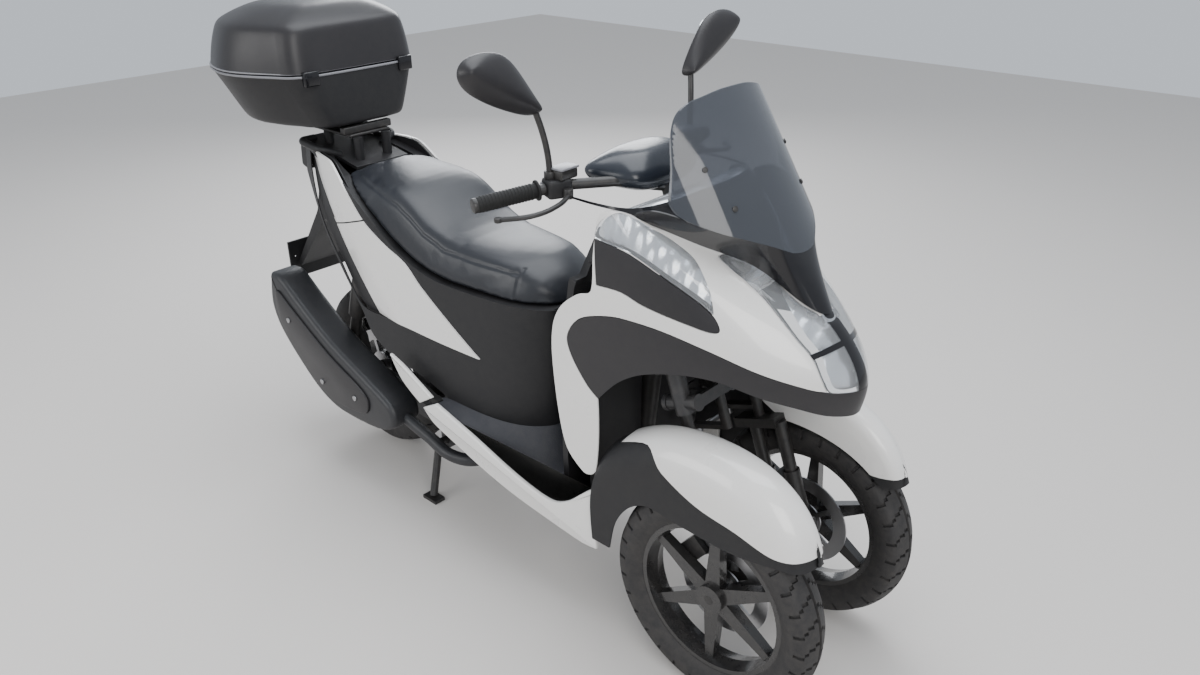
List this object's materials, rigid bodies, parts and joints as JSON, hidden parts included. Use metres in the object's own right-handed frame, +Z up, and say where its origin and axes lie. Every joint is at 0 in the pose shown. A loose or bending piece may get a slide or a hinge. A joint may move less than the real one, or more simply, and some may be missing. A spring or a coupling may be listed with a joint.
{
  "type": "leaning three-wheel scooter",
  "caption": "Leaning scooter with paired front wheels, one driven rear wheel, tall screen, step-through floor, stepped seat, stands and rear top case.",
  "frame": {"origin": "on the floor under the middle of the bounding box", "axes": "+X forward, +Y to the rider's left, +Z up"},
  "size_m": [2.0349, 0.8314, 1.3332],
  "materials": {
    "white_paint": "gloss painted plastic",
    "graphite_paint": "satin dark painted plastic",
    "dark_plastic": "grained moulded plastic",
    "frame_paint": "black stoved paint",
    "wheel_black": "gloss black wheel paint",
    "gloss_black": "gloss black moulded plastic",
    "alloy": "cast, slightly dusty",
    "steel": "turned and ground",
    "chrome": "polished",
    "tyre": "dusty black",
    "rubber": "ribbed black",
    "seat_cover": "grained black cover",
    "clear_lens": "clear",
    "screen": "smoked",
    "red_lens": "moulded red"
  },
  "bodies": {
    "chassis": {"arch_panel": "dark_plastic", "case_base": "dark_plastic", "case_rack": "dark_plastic", "chin_cowl": "dark_plastic", "dash": "dark_plastic", "drive_case": "alloy", "engine_block": "alloy", "floor_strips": "white_paint", "floorboard": "dark_plastic", "frame": "frame_paint", "grab_rail": "dark_plastic", "headlamp": "clear_lens", "inner_shield": "dark_plastic", "knuckles": "alloy", "leg_shields": "white_paint", "lower_arm": "alloy", "nose_cowl": "white_paint", "nose_panels": "graphite_paint", "pillion_pegs": "rubber", "rear_arm": "alloy", "rear_mudguard": "dark_plastic", "rear_shocks": "frame_paint", "screen_base": "gloss_black", "shield_panels": "graphite_paint", "side_covers": "dark_plastic", "side_lenses": "clear_lens", "silencer": "frame_paint", "stand_hanger": "alloy", "tail_lamp": "red_lens", "tail_panels": "white_paint", "under_seat_box": "dark_plastic", "upper_arm": "alloy", "windscreen": "screen"},
    "handlebar": {"handlebar": "frame_paint", "bar_cover": "dark_plastic", "grips": "rubber", "switches": "dark_plastic", "levers": "alloy", "mirrors": "graphite_paint"},
    "tie_rod": {"tie_rod": "steel"},
    "fork_left": {"fork_left": "frame_paint", "fender_left": "white_paint", "skirt_left": "dark_plastic"},
    "fork_right": {"fork_right": "frame_paint", "fender_right": "white_paint", "skirt_right": "dark_plastic"},
    "wheel_front_left": {"front_tyre_left": "tyre", "front_rim_left": "wheel_black", "front_disc_left": "steel"},
    "wheel_front_right": {"front_tyre_right": "tyre", "front_rim_right": "wheel_black", "front_disc_right": "steel"},
    "wheel_rear": {"rear_tyre": "tyre", "rear_rim": "wheel_black", "rear_disc": "steel"},
    "centre_stand": {"centre_stand": "frame_paint"},
    "side_stand": {"side_stand": "frame_paint"},
    "seat": {"seat": "seat_cover"},
    "case_lid": {"case_lid": "graphite_paint"}
  },
  "joints": [
    {"name": "steering", "type": "hinge", "parent": "chassis", "child": "handlebar", "pos_m": [0.8355, 0, 0], "axis": [-0.342, 0, 0.9397], "range_deg": [-36, 36]},
    {"name": "tie_rod_pivot", "type": "hinge", "parent": "handlebar", "child": "tie_rod", "pos_m": [0.56726, 0, 0.48554], "axis": [-0.342, 0, 0.9397], "range_deg": [-36, 36]},
    {"name": "kingpin_left", "type": "hinge", "parent": "chassis", "child": "fork_left", "pos_m": [0.8355, 0.118, 0], "axis": [-0.342, 0, 0.9397], "range_deg": [-36, 36]},
    {"name": "front_left_spin", "type": "hinge", "parent": "fork_left", "child": "wheel_front_left", "pos_m": [0.7675, 0.19, 0.25], "axis": [0, 1, 0], "continuous": true},
    {"name": "kingpin_right", "type": "hinge", "parent": "chassis", "child": "fork_right", "pos_m": [0.8355, -0.118, 0], "axis": [-0.342, 0, 0.9397], "range_deg": [-36, 36]},
    {"name": "front_right_spin", "type": "hinge", "parent": "fork_right", "child": "wheel_front_right", "pos_m": [0.7675, -0.19, 0.25], "axis": [0, 1, 0], "continuous": true},
    {"name": "rear_spin", "type": "hinge", "parent": "chassis", "child": "wheel_rear", "pos_m": [-0.5825, 0, 0.268], "axis": [0, 1, 0], "continuous": true},
    {"name": "centre_stand_fold", "type": "hinge", "parent": "chassis", "child": "centre_stand", "pos_m": [-0.2625, 0, 0.15], "axis": [0, 1, 0], "range_deg": [0, 68]},
    {"name": "side_stand_swing", "type": "hinge", "parent": "chassis", "child": "side_stand", "pos_m": [0.0675, 0.181, 0.18], "axis": [0, -1, 0], "range_deg": [0, 95]},
    {"name": "seat_hinge", "type": "hinge", "parent": "chassis", "child": "seat", "pos_m": [0.2115, 0, 0.702], "axis": [0, 1, 0], "range_deg": [0, 50]},
    {"name": "case_lid_hinge", "type": "hinge", "parent": "chassis", "child": "case_lid", "pos_m": [-0.5985, 0, 1.1502], "axis": [0, 1, 0], "range_deg": [0, 70]}
  ],
  "couplings": [
    {"joint": "tie_rod_pivot", "follows": "steering", "ratio": -1},
    {"joint": "kingpin_left", "follows": "steering", "ratio": 1},
    {"joint": "kingpin_right", "follows": "steering", "ratio": 1}
  ]
}
